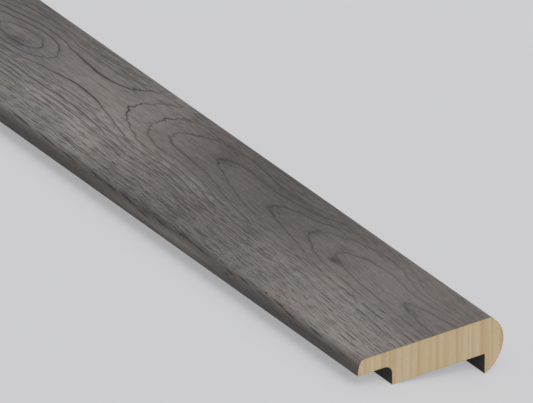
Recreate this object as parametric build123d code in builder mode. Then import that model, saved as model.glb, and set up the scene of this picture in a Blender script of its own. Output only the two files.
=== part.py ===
from build123d import *

import math
import os

# Overlapping stair nosing: one stick of moulding that caps the front edge of a step.
# Every size is in millimetres and belongs to the stick as it is fitted, with its tread face level.

# The whole stick
length = 2388.0  # the 94 inch stock length
width = 54.0  # from the edge of the lip to the front of the nose
height = 19.05  # from the tread face down to the tip of the nose

# The body, whose underside is the seat that beds on the step
body_thickness = 12.1

# The lip, which laps over the edge of the floor covering
lip_reach = 12.7  # from the edge of the lip to the heel of the body
lip_thickness = 5.25
lip_roll = 2.2  # how far the rolled edge of the lip comes in over the tread face
heel_radius = 2.8  # inside corner where the lip springs from the heel

# The nose, which hangs down over the front of the step
nose_thickness = 6.95  # from the front of the step to the front of the nose
nose_front_depth = 8.3  # depth of the foremost line of the nose below the tread face
nose_setback = 5.0  # from the foremost line back to the arris of the tread face
arris_radius = 1.0  # easing of that arris

# The section is drawn level: x runs from the edge of the lip to the nose, y is up and 0 at the tread face.
roll_centre = (lip_roll, -lip_thickness)
lip_root = (lip_reach, -lip_thickness)
heel = (lip_reach, -body_thickness)
seat_corner = (width - nose_thickness, -body_thickness)
nose_tip = (width - nose_thickness, -height)
nose_front = (width, -nose_front_depth)
arris = (width - nose_setback, 0)

with BuildSketch() as section:
    with BuildLine():
        rolled_edge = EllipticalCenterArc(roll_centre, lip_roll, lip_thickness, 90, arc_size=90)
        Polyline(rolled_edge @ 1, lip_root, heel, seat_corner, nose_tip)
        # The nose is two arcs that are both upright, and so tangent to each other, at its foremost line.
        TangentArc(nose_front, nose_tip, tangent=(0, -1))
        TangentArc(nose_front, arris, tangent=(0, 1))
        Line(arris, rolled_edge @ 0)
    make_face()
    fillet(section.vertices().sort_by_distance(lip_root)[0], heel_radius)
    fillet(section.vertices().sort_by_distance(arris)[0], arris_radius)

# Laid on a floor, the stick leans until it stands on its heel and on the tip of its nose.
lean = math.degrees(math.atan2(heel[1] - nose_tip[1], nose_tip[0] - heel[0]))
leaning_plane = Plane.YZ.rotated((lean, 0, 0))
leaning_box = (leaning_plane * section.sketch).bounding_box()
floor_centre = Vector(0, leaning_box.center().Y, leaning_box.min.Z)
resting_plane = Plane(-floor_centre, x_dir=leaning_plane.x_dir, z_dir=leaning_plane.z_dir)

with BuildPart() as nosing:
    with BuildSketch(resting_plane):
        add(section.sketch)
    extrude(amount=length / 2, both=True)

nosing.part.label = "nosing"
os.makedirs("parts", exist_ok=True)
export_step(nosing.part, "parts/nosing.step")
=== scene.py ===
"""Looks of the overlapping stair nosing: grey oak film on a pale core, on a plain pale floor.

The stick is modelled level, with its tread face at height zero, and is then laid down as it rests.
"""

import math

import bmesh
import bpy
from bpy.props import FloatProperty, FloatVectorProperty, PointerProperty
from bpy.types import NodeSocket, Operator, Panel, PropertyGroup
from mathutils import Matrix, Vector


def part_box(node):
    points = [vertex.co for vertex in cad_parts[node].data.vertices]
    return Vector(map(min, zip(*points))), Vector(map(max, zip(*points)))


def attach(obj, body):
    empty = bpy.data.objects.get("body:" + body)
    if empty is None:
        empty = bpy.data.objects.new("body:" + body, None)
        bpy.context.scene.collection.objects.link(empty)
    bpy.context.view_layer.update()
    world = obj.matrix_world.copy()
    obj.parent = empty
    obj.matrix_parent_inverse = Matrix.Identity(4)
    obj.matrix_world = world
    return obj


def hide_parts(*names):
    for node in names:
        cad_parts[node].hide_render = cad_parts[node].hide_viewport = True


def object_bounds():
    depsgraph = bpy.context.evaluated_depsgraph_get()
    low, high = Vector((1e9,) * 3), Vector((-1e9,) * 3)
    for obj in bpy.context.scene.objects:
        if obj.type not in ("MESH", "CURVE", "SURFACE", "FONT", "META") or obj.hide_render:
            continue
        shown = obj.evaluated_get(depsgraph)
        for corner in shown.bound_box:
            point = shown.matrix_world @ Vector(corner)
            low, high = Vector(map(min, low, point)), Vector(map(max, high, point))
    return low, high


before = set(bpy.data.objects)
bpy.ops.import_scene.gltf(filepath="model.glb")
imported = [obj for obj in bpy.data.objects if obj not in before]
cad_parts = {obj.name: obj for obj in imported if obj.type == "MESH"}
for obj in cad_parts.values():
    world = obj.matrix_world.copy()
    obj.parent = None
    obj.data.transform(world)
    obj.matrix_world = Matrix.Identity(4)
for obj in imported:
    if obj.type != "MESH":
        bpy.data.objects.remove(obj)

bl_info = {
    "name": "Overlapping Stair Nosing",
    "version": (1, 0, 0),
    "blender": (4, 5, 0),
    "location": "3D View > Sidebar > Nosing",
    "description": "Models a stick of grey oak stair nosing and the stage that it is shown on",
    "category": "Object",
}

CAD_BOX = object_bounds()
CAD_NODE = "nosing"
MM = 0.001

# The mesh: the steps of its arcs, its spans and the angle past which an edge is sharp
ARC_STEPS = 16
HEEL_STEPS = 8
ARRIS_STEPS = 4
SPANS = 3
SHARP_ANGLE = math.radians(30)
# How far it may leave the frame's box, and how close two of its places count as one
BOX_SLACK = 0.1 * MM
SAME_PLACE = 0.001 * MM
# Its layers, and the width of the rim of painted shade round its cut ends
GIRTH = "girth"
RIM_SHADE = "rim"
RIM_SHADE_WIDTH = 0.7 * MM
FINISH_MAP = "Finish"
BAKE_MAP = "OFBake"

# The order of the stick's materials
FILM = 0
CORE = 1
# The dark backing on the underside and in the rebates is painted shade, as dark as the shade in the rebates.
SHADE_BACKING = 2

# The roughness of each: plain film and its marks, then the dark and the pale places of core and backing
FILM_ROUGHNESS = (0.56, 0.72)
CORE_ROUGHNESS = (0.86, 0.78)
SHADE_BACKING_ROUGHNESS = (0.7, 0.6)
# How deep the fibres of core and backing stand
FIBRE_DEPTH = 0.03 * MM

# The photograph's frame, and the heel's corner at the near end in it
PHOTO_WIDTH = 533
PHOTO_HEIGHT = 403
HEEL_PIXEL = (392.17, 384.64)
SENSOR_WIDTH = 36.0

# The core's growth rings: their width, where they start and how far they swing, in millimetres
CORE_RING_WIDTH = 3.4
CORE_RING_START = 2.0
CORE_RING_SWING = 2.4

# The oak figure of the film, drawn in millimetres for the first stretch from the near end.
# Between these two distances from that end it gives way to a figure made by noise.
FIGURE_END = (255.0, 330.0)
# Its rings are circles about the heart of the tree, which runs along under the tread face.
# Each pair is a distance from the end and, there, the heart's depth or its distance from the lip's edge.
HEART_DEPTH = (
    (0, 10.4), (23, 11.5), (60, 13.0), (76, 14.5), (97, 16.0), (131, 17.5), (153, 19.0), (163, 20.5),
    (176, 22.0), (197, 23.0), (216, 22.0), (224, 20.5), (233, 19.7), (246, 20.5), (270, 22.8), (300, 24.0),
)
HEART_LINE = (
    (0, 33.5), (23, 33.0), (60, 33.5), (76, 34.5), (97, 34.0), (131, 37.5),
    (153, 35.0), (176, 34.0), (200, 32.8), (232, 32.0), (300, 29.0),
)
# The same two past the drawn figure: each one's middle and how far it swings
FAR_DEPTH = 17.0
FAR_DEPTH_SWING = 13.0
FAR_LINE = 30.0
FAR_LINE_SWING = 22.0
# How far the rings are squeezed towards the heart along the drawn stretch, on its lip's and its nose's side
LIP_SQUEEZE = ((0, 1.0), (110, 0.93), (172, 0.88), (186, 1.0), (300, 1.0))
NOSE_SQUEEZE = (
    (0, 1.3), (16, 1.3), (34, 0.9), (55, 0.65), (70, 0.8), (92, 1.1), (135, 0.9),
    (155, 0.7), (172, 0.5), (180, 0.65), (187, 0.9), (205, 1.0), (300, 1.0),
)
# The squeeze far out towards the lip, where the rings run straight
OUTER_SQUEEZE = 0.92
# Where the rings close round a knot, which squeezes those within its reach a little more
KNOT_PLACE = 230.0
KNOT_START = (203.0, 232.0)
KNOT_REACH = 8.0
KNOT_EASE = 3.0
KNOT_SQUEEZE = 0.5
# How steeply the rings near the lip and the fibres climb from the lip as they leave the near end,
# where the first are as drawn, and where the second level out
RING_CLIMB = 0.045
RING_CLIMB_MIDDLE = 130.0
FIBRE_CLIMB = 0.055
FIBRE_CLIMB_END = 150.0
FIBRE_CLIMB_EASE = 60.0
# How many rings lie between the heart and the line round the neck of the figure
NECK_RING = 15.65
# Half the width of a ring's dark line, at its core and at its rim, and the width and depth of its shade
LINE_WIDTH = (0.1, 0.55)
SHADE_WIDTH = 1.6
SHADE_DEPTH = 0.4
# How strongly the rings show along the drawn stretch, from 0 to 1, and past it
RING_STRENGTH = ((0, 0.6), (60, 0.75), (110, 0.8), (145, 1.0), (225, 1.0), (300, 0.8))
FAR_STRENGTH = 0.8
# How light the film is along the drawn stretch, on the tread face and on the lip's edge, from 0 to 1
TONE_ALONG = (
    (0, 0.62), (35, 0.61), (50, 0.53), (65, 0.46), (80, 0.37), (95, 0.31), (110, 0.30), (125, 0.34),
    (140, 0.42), (155, 0.51), (172, 0.66), (190, 0.64), (215, 0.56), (250, 0.50), (300, 0.52),
)
EDGE_ALONG = (
    (0, 0.55), (40, 0.53), (60, 0.55), (75, 0.64), (90, 0.68),
    (105, 0.62), (120, 0.53), (160, 0.50), (180, 0.47), (300, 0.50),
)
# How much lighter or darker it is round the stick, from the lip to the nose, where 0.5 is no change. Round
# the lip's rolled edge and over the arris and the nose it is painted shade, as these faces turn away from the
# light; across the flat tread face it is the film's own tone.
ROUND_TONE_AND_SHADE = (
    (-5, 0.25), (-2.0, 0.26), (-0.6, 0.34), (0.6, 0.43), (2.5, 0.50), (12, 0.52), (20, 0.50),
    (28, 0.37), (40, 0.32), (46, 0.28), (50, 0.28), (58, 0.40), (72, 0.42),
)
NO_CHANGE = 0.5
# Layers of pores: the length and the width of the cell that a pore has to itself, its thickness and a seed
LONG_PORES = (26.0, 1.3, 0.36, 5.5)
SHORT_PORES = ((12.0, 0.78, 0.34, 7.7), (5.5, 0.74, 0.31, 3.1))
LIP_PORES = (15.0, 1.7, 0.6, 44.0)
# Layers of fibres: their length, their width, a seed and how much they change the tone
THREADS = ((25.0, 0.5, 2.0, 0.20), (6.0, 0.38, 4.0, 0.40), (1.2, 0.30, 6.0, 0.55))
# Soft patches of shade along the drawn stretch. Each is its distance from the end and from the lip's
# edge, half its length, half its width and its depth, which is below zero for a pale patch.
SHADES = (
    (4, 26.0, 34, 24.0, 0.15),
    (16, 1.2, 32, 2.6, -0.12),
    (18, 31.6, 7, 2.0, 0.20),
    (18, 6.0, 28, 8.0, -0.12),
    (55, 31.0, 10, 3.2, 0.12),
    (57, 30.0, 3.8, 1.4, 0.50),
    (60, 34.5, 6, 5.0, 0.10),
    (75, 35.0, 6, 6.0, 0.08),
    (75, 15.3, 5, 2.4, -0.15),
    (96, 33.2, 7, 3.5, 0.10),
    (28, -1.3, 36, 1.5, 0.14),
    (98, -1.5, 26, 2.2, -0.46),
    (124, -1.8, 34, 2.4, -0.36),
    (104, 0.5, 42, 1.1, 0.08),
    (110, 9.0, 44, 8.0, 0.06),
    (130, 22.0, 34, 5.0, -0.14),
    (168, 11.5, 20, 4.0, -0.10),
    (168, 24.0, 34, 4.0, -0.11),
    (184, 6.5, 18, 4.0, 0.08),
    (194, 15.0, 18, 4.0, -0.18),
    (176, 14.0, 10, 4.0, -0.12),
    (46, 46.0, 12, 4.0, 0.08),
    (112, 45.5, 18, 6.0, -0.07),
    (112, 20.0, 14, 4.0, -0.07),
    (92, 46.0, 18, 5.0, -0.11),
    (114, 36.0, 24, 12.0, -0.07),
    (145, 20.0, 95, 34.0, -0.06),
    (194, 31.0, 26, 9.0, -0.08),
    (118, 0.6, 80, 4.0, 0.16),
    (150, 5.0, 60, 6.0, 0.10),
    (129, 38.5, 9, 4.2, 0.17),
    (184, 41.5, 8, 3.0, 0.12),
    (218, 42.0, 22, 7.0, -0.10),
    (233, 28.3, 7, 4.8, 0.26),
    (239, 33.0, 10, 3.0, -0.10),
)
# Places where the lines of the figure are stronger, drawn the same way. A depth below zero makes
# them fainter there.
ACCENTS = (
    (20, 32.0, 7, 3.0, 0.4),
    (57, 31.0, 6, 3.5, 0.4),
    (75, 34.0, 8, 6.0, 0.3),
    (92, 35.0, 12, 6.0, 0.4),
    (129, 37.5, 9, 5.0, 0.4),
    (146, 40.5, 12, 4.0, 0.3),
    (112, 42.5, 28, 5.0, 0.5),
    (164, 39.0, 8, 5.0, 0.5),
    (176, 34.0, 7, 7.0, 0.6),
    (184, 42.0, 7, 6.0, 0.8),
    (201, 37.5, 18, 4.0, 0.45),
    (194, 28.0, 22, 4.0, 0.45),
    (224, 31.5, 6, 4.0, 0.4),
    (222, 45.0, 45, 6.0, -0.3),
    (14, 43.0, 42, 9.0, -0.5),
)
# Thin dark streaks along the lip's edge, drawn the same way, which climb a little on their way from
# the near end
LIP_SLANT = 0.07
LIP_STREAKS = (
    (10, -0.4, 9, 0.5, 0.6),
    (24, 0.4, 6, 0.55, 1.0),
    (38, 0.1, 5, 0.55, 1.0),
    (44, 0.9, 6, 0.8, 0.8),
    (52, 1.4, 1.5, 0.6, 0.8),
    (53, 0.3, 9, 0.6, 0.6),
    (64, 0.6, 5, 0.55, 0.9),
    (71, 0.1, 5, 0.55, 1.0),
    (72, -1.0, 1.5, 0.7, 0.9),
    (87, 0.5, 6, 0.55, 0.8),
    (96, 1.0, 9, 0.55, 1.0),
    (109, 0.2, 7, 0.5, 0.8),
    (119, -0.8, 7, 0.5, 0.9),
    (127, 0.1, 7, 0.6, 1.0),
    (137, 0.2, 6, 0.6, 1.0),
    (146, 0.5, 8, 0.5, 1.0),
    (161, 0.4, 8, 0.5, 1.0),
    (174, 0.9, 9, 0.5, 0.9),
    (189, 1.3, 11, 0.6, 1.0),
)
# Places where the film has more of its warm tint or of its cool one, drawn the same way
WARM = (
    (6, 46.0, 36, 14.0, 0.9),
    (112, 42.0, 55, 14.0, 0.6),
    (164, 44.0, 22, 8.0, 0.5),
)
COOL = (
    (57, -3.0, 30, 4.0, 0.9),
    (200, 3.0, 40, 16.0, 0.9),
    (228, 28.0, 20, 7.0, 1.0),
    (212, 23.0, 18, 6.0, 0.5),
)


class SectionSizes(PropertyGroup):
    """Sizes of the stick as it is fitted, with its tread face level."""

    length: FloatProperty(
        name="Length",
        description="Stock length of the stick",
        default=CAD_BOX[1].x - CAD_BOX[0].x,
        unit="LENGTH",
        precision=5,
    )
    width: FloatProperty(
        name="Width",
        description="From the edge of the lip to the front of the nose",
        default=54.0 * MM,
        unit="LENGTH",
        precision=5,
    )
    height: FloatProperty(
        name="Height",
        description="From the tread face down to the tip of the nose",
        default=19.05 * MM,
        unit="LENGTH",
        precision=5,
    )
    body_thickness: FloatProperty(
        name="Body Thickness",
        description="From the tread face down to the seat",
        default=12.1 * MM,
        unit="LENGTH",
        precision=5,
    )
    lip_reach: FloatProperty(
        name="Lip Reach",
        description="From the edge of the lip to the heel of the body",
        default=12.7 * MM,
        unit="LENGTH",
        precision=5,
    )
    lip_thickness: FloatProperty(
        name="Lip Thickness",
        description="From the tread face down to the underside of the lip",
        default=5.25 * MM,
        unit="LENGTH",
        precision=5,
    )
    lip_roll: FloatProperty(
        name="Lip Roll",
        description="How far the rolled edge of the lip comes in over the tread face",
        default=2.2 * MM,
        unit="LENGTH",
        precision=5,
    )
    heel_radius: FloatProperty(
        name="Heel Radius",
        description="Inside corner where the lip springs from the heel",
        default=2.8 * MM,
        unit="LENGTH",
        precision=5,
    )
    nose_thickness: FloatProperty(
        name="Nose Thickness",
        description="From the front of the step to the front of the nose",
        default=6.95 * MM,
        unit="LENGTH",
        precision=5,
    )
    nose_front_depth: FloatProperty(
        name="Nose Front Depth",
        description="Depth of the foremost line of the nose below the tread face",
        default=8.3 * MM,
        unit="LENGTH",
        precision=5,
    )
    nose_setback: FloatProperty(
        name="Nose Setback",
        description="From the foremost line of the nose back to the arris of the tread face",
        default=5.0 * MM,
        unit="LENGTH",
        precision=5,
    )
    arris_radius: FloatProperty(
        name="Arris Radius",
        description="Easing of the arris between the tread face and the nose",
        default=1.0 * MM,
        unit="LENGTH",
        precision=5,
    )


class FinishLook(PropertyGroup):
    """Colours and textures of the stick's finishes."""

    film_light: FloatVectorProperty(
        name="Film Light",
        description="Film colour where it is lightest",
        default=(0.320, 0.290, 0.268),
        subtype="COLOR",
        min=0.0,
        max=1.0,
    )
    film_dark: FloatVectorProperty(
        name="Film Dark",
        description="Film colour where it is darkest",
        default=(0.0615, 0.0530, 0.0490),
        subtype="COLOR",
        min=0.0,
        max=1.0,
    )
    film_warm: FloatVectorProperty(
        name="Film Warm",
        description="Faint rosy tint that comes and goes over the film",
        default=(1.0, 0.950, 0.940),
        subtype="COLOR",
        min=0.0,
        max=1.0,
    )
    film_cool: FloatVectorProperty(
        name="Film Cool",
        description="Faint bluish tint that comes and goes over the film",
        default=(0.850, 0.935, 1.0),
        subtype="COLOR",
        min=0.0,
        max=1.0,
    )
    grain_line: FloatVectorProperty(
        name="Grain Line",
        description="Colour of the thin dark lines of the figure and of the pores",
        default=(0.040, 0.036, 0.035),
        subtype="COLOR",
        min=0.0,
        max=1.0,
    )
    ring_spacing: FloatProperty(
        name="Ring Spacing",
        description="Distance between the lines of the figure, out from the heart",
        default=1.5 * MM,
        unit="LENGTH",
        precision=5,
    )
    grain_depth: FloatProperty(
        name="Grain Depth",
        description="How deep the pores are pressed into the film",
        default=0.05 * MM,
        unit="LENGTH",
        precision=6,
    )
    core_light: FloatVectorProperty(
        name="Core Light",
        description="Colour of the pale bands of the cut end",
        default=(0.593, 0.478, 0.324),
        subtype="COLOR",
        min=0.0,
        max=1.0,
    )
    core_dark: FloatVectorProperty(
        name="Core Dark",
        description="Colour of the dark bands of the cut end",
        default=(0.510, 0.380, 0.220),
        subtype="COLOR",
        min=0.0,
        max=1.0,
    )
    # Painted shade: the outline of each cut end is darkened towards this warm colour.
    core_rim_shade: FloatVectorProperty(
        name="Core Rim",
        description="Warm tint of the cut ends' outline",
        default=(0.98, 0.90, 0.74),
        subtype="COLOR",
        min=0.0,
        max=1.0,
    )
    # The backing's two colours are painted shade: near black, as the underside and the rebates look in shade.
    shade_backing_light: FloatVectorProperty(
        name="Backing Light",
        description="Colour of the pale streaks of the dark underside",
        default=(0.075, 0.071, 0.066),
        subtype="COLOR",
        min=0.0,
        max=1.0,
    )
    shade_backing_dark: FloatVectorProperty(
        name="Backing Dark",
        description="Colour of the dark streaks of the dark underside",
        default=(0.045, 0.043, 0.041),
        subtype="COLOR",
        min=0.0,
        max=1.0,
    )


class StageSetup(PropertyGroup):
    """The floor, the light and the camera."""

    floor_colour: FloatVectorProperty(
        name="Floor",
        description="Colour of the floor and of the background",
        default=(0.617, 0.617, 0.631),
        subtype="COLOR",
        min=0.0,
        max=1.0,
    )
    dome_strength: FloatProperty(
        name="Dome",
        description="Light from all around, where 1 shows a colour as it is written",
        default=0.45,
        min=0.0,
    )
    sun_strength: FloatProperty(
        name="Sun",
        description="Light from the soft lamp, where 1 shows a colour that faces it as it is written",
        default=0.753,
        min=0.0,
    )
    floor_bounce: FloatProperty(
        name="Bounce",
        description="How much of its light the floor gives back to the stick",
        default=0.33,
        min=0.0,
        max=1.0,
    )
    shadow_strength: FloatProperty(
        name="Shadow",
        description="How much of the stick's shadow the floor shows",
        default=0.4,
        min=0.0,
        max=1.0,
    )
    sun_direction: FloatVectorProperty(
        name="Sun Direction",
        description="Towards the soft lamp, seen from the level stick",
        default=(0.68, 0.0, 0.73),
        subtype="DIRECTION",
    )
    sun_angle: FloatProperty(
        name="Sun Angle",
        description="How wide the soft lamp looks from the stick",
        default=math.radians(50.0),
        subtype="ANGLE",
    )
    camera_azimuth: FloatProperty(
        name="Azimuth",
        description="How far the camera stands round from the lip's side towards the near end",
        default=math.radians(56.085),
        subtype="ANGLE",
    )
    camera_elevation: FloatProperty(
        name="Elevation",
        description="How far the camera stands above the tread face",
        default=math.radians(28.584),
        subtype="ANGLE",
    )
    camera_roll: FloatProperty(
        name="Roll",
        description="How far the camera is turned about its own line of sight",
        default=math.radians(-0.259),
        subtype="ANGLE",
    )
    camera_lens: FloatProperty(
        name="Lens",
        description="Focal length in millimetres, long because the photograph has little perspective",
        default=1250.0,
        min=1.0,
    )
    camera_distance: FloatProperty(
        name="Distance",
        description="From the camera to the heel at the near end, along the line of sight",
        default=5.6531,
        unit="LENGTH",
    )


def lean_angle(size):
    """Returns how far the stick leans when it stands on its heel and on the tip of its nose."""
    rise = size.height - size.body_thickness
    run = size.width - size.nose_thickness - size.lip_reach
    return math.atan2(rise, run)


def arc_radius(along, across):
    """Returns the radius of an arc that starts square to one side of a box and ends at its far corner."""
    return (along**2 + across**2) / (2 * along)


def lower_nose_radius(size):
    """Returns the radius of the nose below its foremost line."""
    return arc_radius(size.nose_thickness, size.height - size.nose_front_depth)


def resting_place(size):
    """Returns the matrix that lays the level stick down as it rests, centred over the frame's origin."""
    lean = lean_angle(size)
    cos = math.cos(lean)
    sin = math.sin(lean)
    nose_radius = lower_nose_radius(size)
    front = (size.width - nose_radius) * cos + size.nose_front_depth * sin + nose_radius
    roll_centre = size.lip_roll * cos + size.lip_thickness * sin
    back = roll_centre - math.hypot(size.lip_roll * cos, size.lip_thickness * sin)
    lift = size.height * cos - (size.width - size.nose_thickness) * sin
    shift = Matrix.Translation((0, -(front + back) / 2, lift))
    return shift @ Matrix.Rotation(lean, 4, "X")


def draw_section(mesh, size):
    """Draws the level section at the near end as one face: y from the lip's edge, z from the tread face."""
    near = size.length / 2

    def corner(y, z):
        return mesh.verts.new((near, y, z))

    def sweep(start, centre, angle):
        """Spins a corner into an arc and returns the arc's new corners in order."""
        count = len(mesh.verts)
        bmesh.ops.spin(
            mesh, geom=[start], cent=(near, *centre), axis=(1, 0, 0), angle=angle, steps=ARC_STEPS
        )
        mesh.verts.ensure_lookup_table()
        return mesh.verts[count:]

    # The rolled edge is a quarter circle as high as the lip, squeezed to the width of the roll.
    lip_top = corner(size.lip_roll, 0)
    rolled = sweep(lip_top, (size.lip_roll, -size.lip_thickness), math.radians(90))
    bmesh.ops.scale(
        mesh,
        vec=(1, size.lip_roll / size.lip_thickness, 1),
        space=Matrix.Translation((0, -size.lip_roll, 0)),
        verts=rolled,
    )
    # The nose is two arcs that meet, both upright, at its foremost line.
    depth = size.nose_front_depth
    nose_front = corner(size.width, -depth)
    low = lower_nose_radius(size)
    low_angle = math.asin((size.height - depth) / low)
    high = arc_radius(size.nose_setback, depth)
    high_angle = math.asin(depth / high)
    nose_tip = sweep(nose_front, (size.width - low, -depth), -low_angle)[-1]
    arris = sweep(nose_front, (size.width - high, -depth), high_angle)[-1]

    lip_root = corner(size.lip_reach, -size.lip_thickness)
    heel = corner(size.lip_reach, -size.body_thickness)
    seat_corner = corner(size.width - size.nose_thickness, -size.body_thickness)
    mesh.edges.new((rolled[-1], lip_root))
    mesh.edges.new((lip_root, heel))
    mesh.edges.new((heel, seat_corner))
    mesh.edges.new((seat_corner, nose_tip))
    mesh.edges.new((arris, lip_top))
    bmesh.ops.edgeloop_fill(mesh, edges=mesh.edges[:])

    arris_turn = math.radians(90) - high_angle
    easings = (
        (lip_root, size.heel_radius, HEEL_STEPS),
        (arris, size.arris_radius * math.tan(arris_turn / 2), ARRIS_STEPS),
    )
    for vertex, offset, steps in easings:
        bmesh.ops.bevel(
            mesh,
            geom=[vertex],
            offset=offset,
            affect="VERTICES",
            segments=steps,
            profile=0.5,
            material=-1,
        )
    mesh.faces.ensure_lookup_table()
    return mesh.faces[0]


def mark_girth(mesh, face, size):
    """Marks each corner of the section with its way round it, which equals y on the tread face.

    Returns the girth where the film starts at the lip's edge, where it ends at the nose's tip, and
    the whole way round.
    """
    girth = mesh.verts.layers.float.new(GIRTH)
    loop = min(face.loops, key=lambda step: (round(step.vert.co.y, 7), -step.vert.co.z))
    lip_edge = loop.vert
    backwards = loop.link_loop_next.vert.co.z < -size.lip_thickness + SAME_PLACE
    way = 0.0
    tip_way = 0.0
    flat_way = 0.0
    for _ in face.loops:
        loop.vert[girth] = way
        if loop.vert.co.z < -size.height + SAME_PLACE:
            tip_way = way
        if abs(loop.vert.co.y - size.lip_roll) < SAME_PLACE and loop.vert.co.z > -SAME_PLACE:
            flat_way = way
        following = loop.link_loop_prev if backwards else loop.link_loop_next
        way += (following.vert.co - loop.vert.co).length
        loop = following
    shift = size.lip_roll - flat_way
    for vertex in face.verts:
        vertex[girth] += shift
    return lip_edge[girth], tip_way + shift, way


def is_end(face):
    """Tells whether a face belongs to one of the cut ends, which look along the stick."""
    return abs(face.normal.x) > 0.5


def map_finish(mesh, size, film_start, film_end, girth_total):
    """Gives each face its material and its two maps: one in metres for the finish, one for baking."""
    girth = mesh.verts.layers.float[GIRTH]
    finish = mesh.loops.layers.uv.new(FINISH_MAP)
    bake = mesh.loops.layers.uv.new(BAKE_MAP)
    near = size.length / 2
    span = size.length / SPANS

    # The bake map stacks the film's spans, then the backing's, then the two ends.
    gap = 0.004
    film_row = 0.268
    back_row = 0.046
    end_row = 0.044
    end_width = 0.16
    back_base = SPANS * (film_row + gap) + gap
    end_base = back_base + SPANS * (back_row + gap)
    for face in mesh.faces:
        face.smooth = True
        if is_end(face):
            face.material_index = CORE
            side = 0 if face.normal.x > 0 else 1
            for loop in face.loops:
                y = loop.vert.co.y
                z = loop.vert.co.z
                loop[finish].uv = (y, z)
                u = gap + side * (end_width + gap) + end_width * y / size.width
                loop[bake].uv = (u, end_base + end_row * (1 + z / size.height))
            continue
        # Faces past the film's end get the backing, which is painted shade.
        is_film = max(v[girth] for v in face.verts) < film_end + SAME_PLACE
        face.material_index = FILM if is_film else SHADE_BACKING
        number = int((near - face.calc_center_median().x) / span)
        for loop in face.loops:
            along = near - loop.vert.co.x
            way = loop.vert[girth]
            if not is_film and way < film_end - SAME_PLACE:
                way += girth_total
            loop[finish].uv = (along, way)
            u = gap + (1 - 2 * gap) * (along - number * span) / span
            if is_film:
                share = (way - film_start) / (film_end - film_start)
                v = gap + number * (film_row + gap) + film_row * share
            else:
                share = (way - film_end) / (film_start + girth_total - film_end)
                v = back_base + number * (back_row + gap) + back_row * share
            loop[bake].uv = (u, v)


def shade_rim_ends(mesh):
    """Insets the cut ends and marks their outline, where the core is painted with a thin, warm rim of shade.
    """
    rim = mesh.verts.layers.float.new(RIM_SHADE)
    for vertex in mesh.verts:
        vertex[rim] = 1.0
    ends = [face for face in mesh.faces if is_end(face)]
    bmesh.ops.inset_individual(mesh, faces=ends, thickness=RIM_SHADE_WIDTH)
    for face in ends:
        for vertex in face.verts:
            vertex[rim] = 0.0


def model_stick(size):
    """Models the stick and returns its mesh data, laid down as it rests."""
    mesh = bmesh.new()
    section = draw_section(mesh, size)
    film_start, film_end, girth_total = mark_girth(mesh, section, size)
    step = Vector((-size.length / SPANS, 0, 0))
    bmesh.ops.spin(mesh, geom=[section], axis=(1, 0, 0), angle=0, dvec=step, steps=SPANS)
    bmesh.ops.recalc_face_normals(mesh, faces=mesh.faces[:])
    shade_rim_ends(mesh)
    map_finish(mesh, size, film_start, film_end, girth_total)
    for edge in mesh.edges:
        if not edge.is_manifold:
            raise RuntimeError("the stick is not closed")
        edge.smooth = edge.calc_face_angle() < SHARP_ANGLE
    bmesh.ops.transform(mesh, matrix=resting_place(size), verts=mesh.verts[:])
    data = bpy.data.meshes.new("nosing_stick")
    mesh.to_mesh(data)
    mesh.free()
    data.uv_layers[FINISH_MAP].active_render = True
    return data


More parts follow.
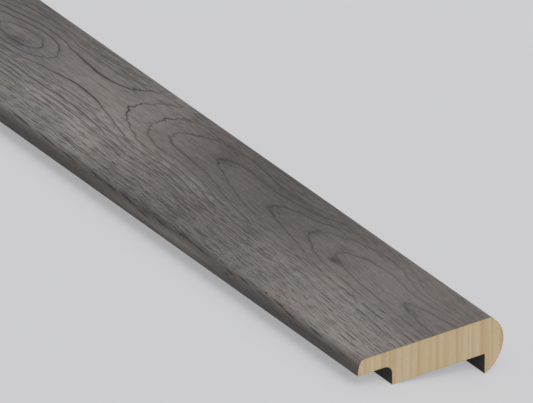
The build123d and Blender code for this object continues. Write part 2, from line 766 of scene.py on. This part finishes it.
class NodeSketch:
    """Adds nodes to a shader tree. An input is another node's socket or a plain value."""

    def __init__(self, tree):
        self.tree = tree

    def add(self, kind, inputs=None, **settings):
        """Adds one node, sets it up and feeds its inputs, which are named or numbered."""
        made = self.tree.nodes.new(kind)
        for name, value in settings.items():
            setattr(made, name, value)
        for key, value in (inputs or {}).items():
            self.feed(made.inputs[key], value)
        return made

    def feed(self, socket, value):
        """Links a socket to another, or sets it to a plain value."""
        if isinstance(value, NodeSocket):
            self.tree.links.new(value, socket)
        else:
            socket.default_value = value

    def math(self, operation, *values):
        """Works out one sum on values, such as a product."""
        made = self.add("ShaderNodeMath", dict(enumerate(values)), operation=operation)
        return made.outputs[0]

    def total(self, first, *rest):
        """Adds up values."""
        for value in rest:
            first = self.math("ADD", first, value)
        return first

    def product(self, first, *rest):
        """Multiplies values."""
        for value in rest:
            first = self.math("MULTIPLY", first, value)
        return first

    def ramp(self, value, low, high, bottom=0.0, top=1.0):
        """Eases from bottom to top as a value goes from low to high."""
        inputs = {"Value": value, "From Min": low, "From Max": high, "To Min": bottom, "To Max": top}
        made = self.add("ShaderNodeMapRange", inputs, interpolation_type="SMOOTHSTEP")
        return made.outputs[0]

    def blend(self, factor, first, second):
        """Mixes two numbers."""
        made = self.add("ShaderNodeMix", {0: factor, 2: first, 3: second}, data_type="FLOAT")
        return made.outputs[0]

    def tint(self, factor, first, second, blend_type="MIX"):
        """Mixes two colours."""
        inputs = {0: factor, 6: first, 7: second}
        made = self.add("ShaderNodeMix", inputs, data_type="RGBA", blend_type=blend_type)
        return made.outputs[2]

    def curve(self, value, points):
        """Reads a curve through points, each a place and the level there. Past its ends it stays level."""
        start = points[0][0]
        span = points[-1][0] - start
        top = max(level for place, level in points)
        share = self.math("DIVIDE", self.math("SUBTRACT", value, start), span)
        made = self.add("ShaderNodeFloatCurve", {"Value": share})
        made.mapping.extend = "HORIZONTAL"
        drawn = made.mapping.curves[0].points
        for place, level in points[1:-1]:
            drawn.new((place - start) / span, level / top)
        drawn[0].location = (0, points[0][1] / top)
        drawn[-1].location = (1, points[-1][1] / top)
        for point in drawn:
            point.handle_type = "AUTO_CLAMPED"
        made.mapping.update()
        return self.product(made.outputs[0], top)

    def noise(self, along, across, length, width, seed, detail=2.0, roughness=0.5):
        """Reads noise in grains of about this length and width along the stick. Its mean is about 0.5."""
        inputs = {
            0: self.math("DIVIDE", along, length),
            1: self.math("DIVIDE", across, width),
            2: seed,
        }
        place = self.add("ShaderNodeCombineXYZ", inputs).outputs[0]
        inputs = {"Vector": place, "Scale": 1.0, "Detail": detail, "Roughness": roughness}
        return self.add("ShaderNodeTexNoise", inputs).outputs["Fac"]

    def strokes(self, along, across, length, width, thickness, seed):
        """Draws a stroke along the stick, some dark and some faint, in each cell of this length and width."""
        inputs = {
            0: self.total(self.math("DIVIDE", along, length), seed),
            1: self.total(self.math("DIVIDE", across, width), seed),
        }
        place = self.add("ShaderNodeCombineXYZ", inputs).outputs[0]
        inputs = {"Vector": place, "Scale": 1.0}
        cells = self.add("ShaderNodeTexVoronoi", inputs, voronoi_dimensions="2D").outputs
        inputs = {0: place, 1: cells["Position"]}
        gap = self.add("ShaderNodeVectorMath", inputs, operation="SUBTRACT").outputs[0]
        gap = self.add("ShaderNodeVectorMath", {0: gap}, operation="ABSOLUTE").outputs[0]
        parts = self.add("ShaderNodeSeparateXYZ", {0: gap}).outputs
        half = thickness / width / 2
        taper = self.ramp(parts[0], 0.1, 0.5, 1.0, 0.0)
        body = self.ramp(parts[1], 0.4 * half, 1.4 * half, 1.0, 0.0)
        pick = self.add("ShaderNodeSeparateColor", {0: cells["Color"]}).outputs[0]
        return self.product(taper, body, self.ramp(pick, 0.15, 0.90))

    def swing(self, noise, reach):
        """Turns noise into a swing to both sides of zero."""
        return self.product(self.math("SUBTRACT", noise, 0.5), 2.0 * reach)

    def group(self, tree, **inputs):
        """Adds a node group and returns its outputs."""
        made = self.add("ShaderNodeGroup", node_tree=tree)
        for name, value in inputs.items():
            self.feed(made.inputs[name], value)
        return made.outputs


def new_group(name, inputs, outputs):
    """Makes an empty node group of number sockets, with its sketch, entry sockets and exit node."""
    tree = bpy.data.node_groups.new(name, "ShaderNodeTree")
    for label, default in inputs:
        socket = tree.interface.new_socket(label, in_out="INPUT", socket_type="NodeSocketFloat")
        socket.default_value = default
    for label in outputs:
        tree.interface.new_socket(label, in_out="OUTPUT", socket_type="NodeSocketFloat")
    sketch = NodeSketch(tree)
    entry = sketch.add("NodeGroupInput").outputs
    leave = sketch.add("NodeGroupOutput")
    return tree, sketch, entry, leave


def fibre_group():
    """Makes the fibres that run along all finishes: a fine value about 0.5."""
    inputs = (("Along", 0.0), ("Across", 0.0), ("Length", 40.0), ("Width", 0.5), ("Seed", 0.0))
    tree, sketch, entry, leave = new_group("Fibres", inputs, ("Fibres",))
    fibres = sketch.noise(
        entry["Along"],
        entry["Across"],
        entry["Length"],
        entry["Width"],
        entry["Seed"],
        detail=3.0,
        roughness=0.6,
    )
    sketch.feed(leave.inputs["Fibres"], fibres)
    return tree


def ring_group(spacing):
    """Makes the ring field of the oak figure.

    Rings is the number of rings out from the heart of the tree. Flow is a distance across the fibres,
    which run nearly straight, and Far is 1 where the drawn figure has ended.
    """
    inputs = (("Along", 0.0), ("Across", 0.0))
    tree, sketch, entry, leave = new_group("Ring field", inputs, ("Rings", "Flow", "Far"))
    # The fibres carry the rings along by uneven steps, which makes their turning points jagged,
    # though less so near the knot.
    steps = sketch.noise(entry["Along"], entry["Across"], 45.0, 1.5, 3.7, detail=3.0, roughness=0.6)
    from_knot = sketch.math("ABSOLUTE", sketch.math("SUBTRACT", entry["Along"], KNOT_PLACE))
    steps = sketch.product(sketch.swing(steps, 1.0), sketch.ramp(from_knot, 14.0, 40.0, 0.8, 3.4))
    along = sketch.total(entry["Along"], steps)
    drift = sketch.noise(entry["Along"], entry["Across"], 55.0, 9.0, 8.1, detail=2.0)
    tremble = sketch.noise(entry["Along"], entry["Across"], 8.0, 1.4, 29.5, detail=2.0)
    across = sketch.total(entry["Across"], sketch.swing(drift, 0.8), sketch.swing(tremble, 0.35))

    # Towards the lip, the drawn grain climbs a little as it runs away from the near end.
    far = sketch.ramp(along, *FIGURE_END)
    climb = sketch.ramp(across, 8.0, 22.0, RING_CLIMB, 0.0)
    climb = sketch.product(climb, sketch.math("SUBTRACT", along, RING_CLIMB_MIDDLE))
    across = sketch.math("SUBTRACT", across, sketch.blend(far, climb, 0.0))
    far_depth = sketch.noise(along, 0.0, 210.0, 1.0, 21.3, detail=1.0)
    far_depth = sketch.total(sketch.swing(far_depth, FAR_DEPTH_SWING), FAR_DEPTH)
    depth = sketch.blend(far, sketch.curve(along, HEART_DEPTH), far_depth)
    far_line = sketch.noise(along, 0.0, 260.0, 1.0, 40.9, detail=1.0)
    far_line = sketch.total(sketch.swing(far_line, FAR_LINE_SWING), FAR_LINE)
    line = sketch.blend(far, sketch.curve(along, HEART_LINE), far_line)

    reach = sketch.math("SUBTRACT", across, line)
    nose_side = sketch.math("GREATER_THAN", reach, 0.0)
    outer = sketch.ramp(reach, -18.0, -7.0, 1.0, 0.0)
    lip_squeeze = sketch.blend(outer, sketch.curve(along, LIP_SQUEEZE), OUTER_SQUEEZE)
    squeeze = sketch.blend(nose_side, lip_squeeze, sketch.curve(along, NOSE_SQUEEZE))
    reach = sketch.product(reach, squeeze)
    close = sketch.math("SMOOTH_MAX", reach, -KNOT_REACH, KNOT_EASE)
    close = sketch.math("SMOOTH_MIN", close, KNOT_REACH, KNOT_EASE)
    knot = sketch.product(close, sketch.ramp(along, *KNOT_START, 0.0, KNOT_SQUEEZE))
    reach = sketch.total(reach, sketch.blend(far, knot, 0.0))
    radius = sketch.math("SQRT", sketch.total(sketch.product(depth, depth), sketch.product(reach, reach)))

    wander = sketch.noise(entry["Along"], entry["Across"], 150.0, 40.0, 12.6, detail=1.0)
    climb = sketch.math("SMOOTH_MIN", entry["Along"], FIBRE_CLIMB_END, FIBRE_CLIMB_EASE)
    climb = sketch.product(climb, FIBRE_CLIMB)
    flow = sketch.total(entry["Across"], sketch.swing(wander, 2.0))
    sketch.feed(leave.inputs["Rings"], sketch.math("DIVIDE", radius, spacing))
    sketch.feed(leave.inputs["Flow"], sketch.math("SUBTRACT", flow, climb))
    sketch.feed(leave.inputs["Far"], far)
    return tree


def new_material(name):
    """Makes a material and returns it with its sketch and its main shader."""
    material = bpy.data.materials.new(name)
    material.use_nodes = True
    sketch = NodeSketch(material.node_tree)
    return material, sketch, material.node_tree.nodes["Principled BSDF"]


def finish_place(sketch):
    """Returns where a point lies on the finish map, in millimetres: two sockets."""
    place = sketch.add("ShaderNodeUVMap", uv_map=FINISH_MAP).outputs[0]
    parts = sketch.add("ShaderNodeSeparateXYZ", {0: place}).outputs
    return sketch.math("DIVIDE", parts[0], MM), sketch.math("DIVIDE", parts[1], MM)


def opaque(colour):
    """Returns a colour property as a colour socket's value."""
    return (*colour, 1.0)


def relief(sketch, shader, height, depth):
    """Presses a finish in by a depth where its height is low."""
    bump = sketch.add("ShaderNodeBump", {"Strength": 1.0, "Distance": depth, "Height": height})
    sketch.feed(shader.inputs["Normal"], bump.outputs[0])


def ring_lines(sketch, field, along, across):
    """Draws the rings as thin dark lines with a soft shade on their outer side.

    Returns the lines' mask and the ring field's outputs.
    """
    # The field's slope, read a probe's length away, turns a count of rings into a distance.
    probe = 0.4
    least_slope = 0.03
    here = sketch.group(field, Along=along, Across=across)
    ahead = sketch.group(field, Along=sketch.total(along, probe), Across=across)
    aside = sketch.group(field, Along=along, Across=sketch.total(across, probe))
    slopes = []
    for other in (ahead, aside):
        rise = sketch.math("SUBTRACT", other["Rings"], here["Rings"])
        slopes.append(sketch.math("POWER", sketch.math("DIVIDE", rise, probe), 2.0))
    slope = sketch.math("MAXIMUM", sketch.math("SQRT", sketch.total(*slopes)), least_slope)
    # A line stands at each whole ring, counted from the one round the neck of the figure.
    count = sketch.math("SUBTRACT", here["Rings"], NECK_RING)
    nearest = sketch.math("ROUND", count)
    past = sketch.math("DIVIDE", sketch.math("SUBTRACT", count, nearest), slope)
    # The tips of the arches are wide and soft towards the near end.
    soft = sketch.product(sketch.ramp(along, 60.0, 140.0, 1.0, 0.0), sketch.ramp(across, 26.0, 31.0))
    past = sketch.math("DIVIDE", past, sketch.total(sketch.product(soft, 0.15), 1.0))
    thread = sketch.ramp(sketch.math("ABSOLUTE", past), *LINE_WIDTH, 1.0, 0.0)
    shade = sketch.ramp(past, 0.0, SHADE_WIDTH, SHADE_DEPTH, 0.0)
    shade = sketch.product(shade, sketch.ramp(past, -0.2, 0.05))
    line = sketch.math("MAXIMUM", thread, shade)
    strength = sketch.add("ShaderNodeTexWhiteNoise", {"W": nearest}, noise_dimensions="1D").outputs[0]
    strength = sketch.ramp(strength, 0.0, 1.0, 0.75, 1.0)
    patches = sketch.ramp(sketch.noise(along, across, 20.0, 4.0, 15.2), 0.32, 0.6, 0.7, 1.0)
    # Towards the lip and the near end the lines are broken into short strokes.
    strokes = sketch.ramp(sketch.noise(along, here["Flow"], 5.0, 0.55, 18.4), 0.40, 0.56, 0.2, 0.9)
    whole = sketch.product(sketch.ramp(across, 4.0, 12.0), sketch.ramp(along, 60.0, 130.0, 0.1, 0.9))
    whole = sketch.math("MAXIMUM", whole, sketch.ramp(across, 23.0, 29.0))
    strokes = sketch.math("MAXIMUM", strokes, whole)
    drawn = sketch.blend(here["Far"], sketch.curve(along, RING_STRENGTH), FAR_STRENGTH)
    drawn = sketch.math("MAXIMUM", drawn, sketch.ramp(across, 25.0, 32.0, 0.95, 0.0))
    # They fade on the way to the lip and over the nose.
    lip_fade = sketch.ramp(across, 4.0, 24.0, 0.25, 1.0)
    nose_fade = sketch.ramp(across, 43.0, 48.0, 1.0, 0.5)
    soft_fade = sketch.ramp(soft, 0.0, 1.0, 1.0, 0.9)
    accents = sketch.total(soft_patches(sketch, along, across, ACCENTS), 1.0)
    drawn = sketch.product(drawn, lip_fade, nose_fade, soft_fade, accents)
    return sketch.product(line, strength, patches, strokes, drawn), here


def film_pores(sketch, along, across, flow):
    """Scatters short dark pores along the grain, most of them towards the lip. Returns a mask."""
    pores = sketch.strokes(along, flow, *LONG_PORES)
    pores = sketch.product(pores, sketch.ramp(along, 40.0, 120.0, 0.5, 1.0))
    for layer in SHORT_PORES:
        pores = sketch.math("MAXIMUM", pores, sketch.strokes(along, flow, *layer))
    crowd = sketch.ramp(sketch.noise(along, across, 24.0, 3.0, 9.3), 0.35, 0.62, 0.85, 1.0)
    side = sketch.ramp(across, 18.0, 30.0, 1.0, 0.5)
    side = sketch.total(side, sketch.ramp(across, 39.0, 45.0, 0.0, 0.3))
    near = sketch.ramp(along, 30.0, 110.0, 0.82, 1.0)
    tread = sketch.ramp(across, 0.0, 2.5, 0.3, 1.0)
    pores = sketch.product(pores, crowd, side, near, tread)
    # Round the lip's edge the film is streaked at a slant: first as drawn, and then by chance.
    slant = sketch.math("SUBTRACT", across, sketch.product(along, LIP_SLANT))
    streaks = sketch.strokes(along, slant, *LIP_PORES)
    edge = sketch.ramp(across, 0.5, 2.5, 0.5, 0.0)
    streaks = sketch.product(streaks, edge, sketch.ramp(along, 180.0, 220.0))
    drawn = soft_patches(sketch, along, across, LIP_STREAKS, LIP_SLANT)
    return sketch.math("MAXIMUM", sketch.math("MAXIMUM", pores, streaks), drawn)


def soft_patches(sketch, along, across, patches, slope=0.0):
    """Sums up soft patches, which are drawn as the shades are. With a slope they climb as they run."""
    sum_up = 0.0
    for place, line, length, width, depth in patches:
        out = sketch.math("DIVIDE", sketch.math("SUBTRACT", along, place), length)
        middle = line - slope * place
        aside = sketch.math("SUBTRACT", across, sketch.total(sketch.product(along, slope), middle))
        aside = sketch.math("DIVIDE", aside, width)
        gap = sketch.math("SQRT", sketch.total(sketch.product(out, out), sketch.product(aside, aside)))
        sum_up = sketch.total(sum_up, sketch.ramp(gap, 0.0, 1.0, depth, 0.0))
    return sum_up


def film_tone(sketch, along, across, far, threads):
    """Sums up how light the film is: its drawn shading, cloudy patches and the threads of its fibres."""
    far_tone = sketch.noise(along, across, 90.0, 60.0, 33.0, detail=1.0)
    edge = sketch.ramp(across, -2.0, 3.0, 1.0, 0.0)
    drawn = sketch.blend(edge, sketch.curve(along, TONE_ALONG), sketch.curve(along, EDGE_ALONG))
    drawn = sketch.blend(far, drawn, far_tone)
    clouds = sketch.noise(along, across, 20.0, 5.0, 27.0)
    nose_fade = sketch.ramp(across, 14.0, 28.0, 1.0, 0.55)
    lip_fade = sketch.ramp(across, -0.5, 3.0, 0.5, 1.0)
    light = sketch.total(
        drawn,
        # Painted shade on the lip's rolled edge and over the arris and nose, with the film's own tone across
        # the tread
        sketch.math("SUBTRACT", sketch.curve(across, ROUND_TONE_AND_SHADE), NO_CHANGE),
        sketch.swing(clouds, 0.06),
        sketch.product(threads, nose_fade, lip_fade),
    )
    # Patches of shade are broken up by the threads.
    broken = sketch.ramp(threads, -0.25, 0.25, 1.4, 0.6)
    shades = sketch.product(soft_patches(sketch, along, across, SHADES), broken)
    return sketch.math("SUBTRACT", light, shades)


def film_material(look, fibres):
    """Makes the grey oak film: a drawn figure of thin dark rings, short pores and fine fibres."""
    material, sketch, shader = new_material("grey_oak_film")
    along, across = finish_place(sketch)
    field = ring_group(look.ring_spacing / MM)
    line, here = ring_lines(sketch, field, along, across)
    pores = film_pores(sketch, along, across, here["Flow"])
    threads = 0.0
    for length, width, seed, reach in THREADS:
        made = sketch.group(fibres, Along=along, Across=here["Flow"], Length=length, Width=width, Seed=seed)
        threads = sketch.total(threads, sketch.swing(made["Fibres"], reach))
    tone = film_tone(sketch, along, across, here["Far"], threads)
    colour = sketch.tint(tone, opaque(look.film_dark), opaque(look.film_light))
    drift = sketch.noise(along, across, 40.0, 11.0, 51.0)
    tints = ((look.film_warm, WARM, 0.46, 0.70, 0.4), (look.film_cool, COOL, 0.50, 0.25, 0.2))
    for tint, patches, low, high, most in tints:
        strength = sketch.ramp(drift, low, high, 0.0, most)
        strength = sketch.total(strength, soft_patches(sketch, along, across, patches))
        colour = sketch.tint(strength, colour, opaque(tint), "MULTIPLY")
    mark = sketch.math("MAXIMUM", line, pores)
    colour = sketch.tint(mark, colour, opaque(look.grain_line))
    sketch.feed(shader.inputs["Base Color"], colour)
    shader.inputs["Specular IOR Level"].default_value = 0.3
    sketch.feed(shader.inputs["Roughness"], sketch.blend(mark, *FILM_ROUGHNESS))
    height = sketch.math("SUBTRACT", sketch.product(threads, 0.4), mark)
    relief(sketch, shader, height, look.grain_depth)
    return material


def core_material(look, fibres):
    """Makes the pale core of the cut ends: soft bands that run in the height of the stick."""
    material, sketch, shader = new_material("pale_wood_core")
    across, height = finish_place(sketch)
    # Each growth ring starts with a sharp dark edge and fades out.
    drift = sketch.noise(height, across, 60.0, 7.0, 3.0)
    count = sketch.total(across, sketch.swing(drift, CORE_RING_SWING), -CORE_RING_START)
    count = sketch.math("DIVIDE", count, CORE_RING_WIDTH)
    fade = sketch.ramp(sketch.math("FRACT", count), 0.0, 0.85, 1.0, 0.0)
    number = sketch.math("FLOOR", count)
    depth = sketch.add("ShaderNodeTexWhiteNoise", {"W": number}, noise_dimensions="1D").outputs[0]
    rings = sketch.product(fade, sketch.ramp(depth, 0.3, 1.0, 0.1, 1.1))
    bands = sketch.group(fibres, Along=height, Across=across, Length=60.0, Width=1.2, Seed=5.0)["Fibres"]
    pores = sketch.group(fibres, Along=height, Across=across, Length=2.0, Width=0.35, Seed=8.0)["Fibres"]
    light = sketch.total(0.74, sketch.swing(bands, 1.15), sketch.swing(pores, 0.5))
    tone = sketch.math("SUBTRACT", light, rings)
    colour = sketch.tint(tone, opaque(look.core_dark), opaque(look.core_light))
    # Painted shade: a darker, warmer rim along the outline of each cut end.
    rim = sketch.add("ShaderNodeAttribute", attribute_name=RIM_SHADE).outputs["Fac"]
    rim = sketch.product(sketch.ramp(rim, 0.0, 1.0), 0.8)
    colour = sketch.tint(rim, colour, opaque(look.core_rim_shade), "MULTIPLY")
    sketch.feed(shader.inputs["Base Color"], colour)
    sketch.feed(shader.inputs["Roughness"], sketch.blend(tone, *CORE_ROUGHNESS))
    shader.inputs["Specular IOR Level"].default_value = 0.2
    relief(sketch, shader, pores, FIBRE_DEPTH)
    return material


def shade_backing_material(look, fibres):
    """Makes the dark backing of the underside and the rebates, painted as dark as their shade: faint streaks
    along the stick.
    """
    material, sketch, shader = new_material("painted_shade_backing")
    along, across = finish_place(sketch)
    streaks = sketch.group(fibres, Along=along, Across=across, Length=45.0, Width=0.9, Seed=11.0)["Fibres"]
    tone = sketch.ramp(streaks, 0.25, 0.75)
    colour = sketch.tint(tone, opaque(look.shade_backing_dark), opaque(look.shade_backing_light))
    sketch.feed(shader.inputs["Base Color"], colour)
    sketch.feed(shader.inputs["Roughness"], sketch.blend(tone, *SHADE_BACKING_ROUGHNESS))
    shader.inputs["Specular IOR Level"].default_value = 0.25
    relief(sketch, shader, streaks, FIBRE_DEPTH)
    return material


class NOSING_OT_model_stick(Operator):
    """Model the stick with its film, its core and its backing."""

    bl_idname = "nosing.model_stick"
    bl_label = "Model Stick"

    def execute(self, context):
        size = context.scene.nosing_section
        look = context.scene.nosing_finish
        data = model_stick(size)
        low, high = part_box(CAD_NODE)
        for vertex in data.vertices:
            for axis in range(3):
                if not low[axis] - BOX_SLACK < vertex.co[axis] < high[axis] + BOX_SLACK:
                    raise RuntimeError("the stick leaves the frame's box")
        fibres = fibre_group()
        for make in (film_material, core_material, shade_backing_material):
            data.materials.append(make(look, fibres))
        stick = bpy.data.objects.new("nosing_stick", data)
        context.scene.collection.objects.link(stick)
        # Flat faces keep their own shading beside the arcs.
        weighted = stick.modifiers.new("Flat faces", "WEIGHTED_NORMAL")
        weighted.keep_sharp = True
        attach(stick, "root")
        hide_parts(CAD_NODE)
        return {"FINISHED"}


def seen_rays(sketch):
    """Returns 1 for the rays that show a surface to the camera, also by a reflection, and 0 for light."""
    path = sketch.add("ShaderNodeLightPath").outputs
    seen = sketch.math("MAXIMUM", path["Is Camera Ray"], path["Is Glossy Ray"])
    return sketch.math("MAXIMUM", seen, path["Is Transmission Ray"])


def lay_floor(scene, stage):
    """Lays a plain pale floor under the stick."""
    mesh = bmesh.new()
    bmesh.ops.create_grid(mesh, x_segments=1, y_segments=1, size=60.0)
    data = bpy.data.meshes.new("floor")
    mesh.to_mesh(data)
    mesh.free()
    material, sketch, shader = new_material("pale_floor")
    shader.inputs["Roughness"].default_value = 1.0
    shader.inputs["Specular IOR Level"].default_value = 0.0
    # The camera sees part of the floor's colour as light, so that the stick's shadow stays faint.
    colour = Vector(stage.floor_colour)
    seen = seen_rays(sketch)
    tinted = sketch.tint(seen, opaque(colour * stage.floor_bounce), opaque(colour))
    sketch.feed(shader.inputs["Base Color"], tinted)
    plain = sketch.add("ShaderNodeEmission", {"Color": opaque(colour)})
    share = sketch.product(seen, 1.0 - stage.shadow_strength)
    mixed = sketch.add("ShaderNodeMixShader", {0: share, 1: shader.outputs[0], 2: plain.outputs[0]})
    output = material.node_tree.nodes["Material Output"]
    sketch.feed(output.inputs["Surface"], mixed.outputs[0])
    data.materials.append(material)
    floor = bpy.data.objects.new("floor", data)
    scene.collection.objects.link(floor)


def light_stage(scene, stage, turn):
    """Lights the stick from all around and by one soft lamp."""
    world = bpy.data.worlds.new("studio")
    world.use_nodes = True
    scene.world = world
    sketch = NodeSketch(world.node_tree)
    dome = world.node_tree.nodes["Background"]
    seen = seen_rays(sketch)
    even = (1.0, 1.0, 1.0, 1.0)
    sketch.feed(dome.inputs["Color"], sketch.tint(seen, even, opaque(stage.floor_colour)))
    sketch.feed(dome.inputs["Strength"], sketch.blend(seen, stage.dome_strength, 1.0))

    lamp = bpy.data.lights.new("soft_lamp", "SUN")
    lamp.energy = math.pi * stage.sun_strength
    lamp.angle = stage.sun_angle
    holder = bpy.data.objects.new("soft_lamp", lamp)
    holder.rotation_mode = "QUATERNION"
    holder.rotation_quaternion = (turn @ Vector(stage.sun_direction)).to_track_quat("Z", "Y")
    scene.collection.objects.link(holder)


def set_camera(scene, stage, size, place):
    """Stands the camera where it sees the near end's heel at its pixel of the photograph."""
    azimuth = stage.camera_azimuth
    elevation = stage.camera_elevation
    back = Vector(
        (
            math.sin(azimuth) * math.cos(elevation),
            -math.cos(azimuth) * math.cos(elevation),
            math.sin(elevation),
        )
    )
    right = Vector((math.cos(azimuth), math.sin(azimuth), 0.0))
    turn = place.to_3x3() @ Matrix((right, back.cross(right), back)).transposed()
    turn = turn @ Matrix.Rotation(stage.camera_roll, 3, "Z")

    camera = bpy.data.cameras.new("camera")
    camera.sensor_width = SENSOR_WIDTH
    camera.lens = stage.camera_lens
    pixel = stage.camera_distance * SENSOR_WIDTH / stage.camera_lens / PHOTO_WIDTH
    heel = place @ Vector((size.length / 2, size.lip_reach, -size.body_thickness))
    heel_in_view = Vector(
        (
            (HEEL_PIXEL[0] - PHOTO_WIDTH / 2) * pixel,
            (PHOTO_HEIGHT / 2 - HEEL_PIXEL[1]) * pixel,
            -stage.camera_distance,
        )
    )
    holder = bpy.data.objects.new("camera", camera)
    holder.matrix_world = Matrix.Translation(heel - turn @ heel_in_view) @ turn.to_4x4()
    scene.collection.objects.link(holder)
    scene.camera = holder


class NOSING_OT_set_stage(Operator):
    """Lay the floor, light it and stand the camera at the photograph's viewing angle."""

    bl_idname = "nosing.set_stage"
    bl_label = "Set Stage"

    def execute(self, context):
        scene = context.scene
        size = scene.nosing_section
        stage = scene.nosing_stage
        place = resting_place(size)
        scene.view_settings.view_transform = "Standard"
        lay_floor(scene, stage)
        light_stage(scene, stage, place.to_3x3())
        set_camera(scene, stage, size, place)
        return {"FINISHED"}


class NOSING_PT_sidebar(Panel):
    """Lists the sizes, the finishes and the stage, each with its operator."""

    bl_idname = "NOSING_PT_sidebar"
    bl_label = "Stair Nosing"
    bl_space_type = "VIEW_3D"
    bl_region_type = "UI"
    bl_category = "Nosing"

    def draw(self, context):
        scene = context.scene
        steps = (
            (NOSING_OT_model_stick, (scene.nosing_section, scene.nosing_finish)),
            (NOSING_OT_set_stage, (scene.nosing_stage,)),
        )
        for operator, groups in steps:
            box = self.layout.box()
            for group in groups:
                for name in group.bl_rna.properties.keys():
                    if name not in {"name", "rna_type"}:
                        box.prop(group, name)
            box.operator(operator.bl_idname)


CLASSES = (
    SectionSizes,
    FinishLook,
    StageSetup,
    NOSING_OT_model_stick,
    NOSING_OT_set_stage,
    NOSING_PT_sidebar,
)


def register():
    for item in CLASSES:
        bpy.utils.register_class(item)
    bpy.types.Scene.nosing_section = PointerProperty(type=SectionSizes)
    bpy.types.Scene.nosing_finish = PointerProperty(type=FinishLook)
    bpy.types.Scene.nosing_stage = PointerProperty(type=StageSetup)


def unregister():
    del bpy.types.Scene.nosing_stage
    del bpy.types.Scene.nosing_finish
    del bpy.types.Scene.nosing_section
    for item in reversed(CLASSES):
        bpy.utils.unregister_class(item)


def main():
    """Makes the stick and the stage."""
    register()
    bpy.ops.nosing.model_stick()
    bpy.ops.nosing.set_stage()


if __name__ == "__main__":
    main()
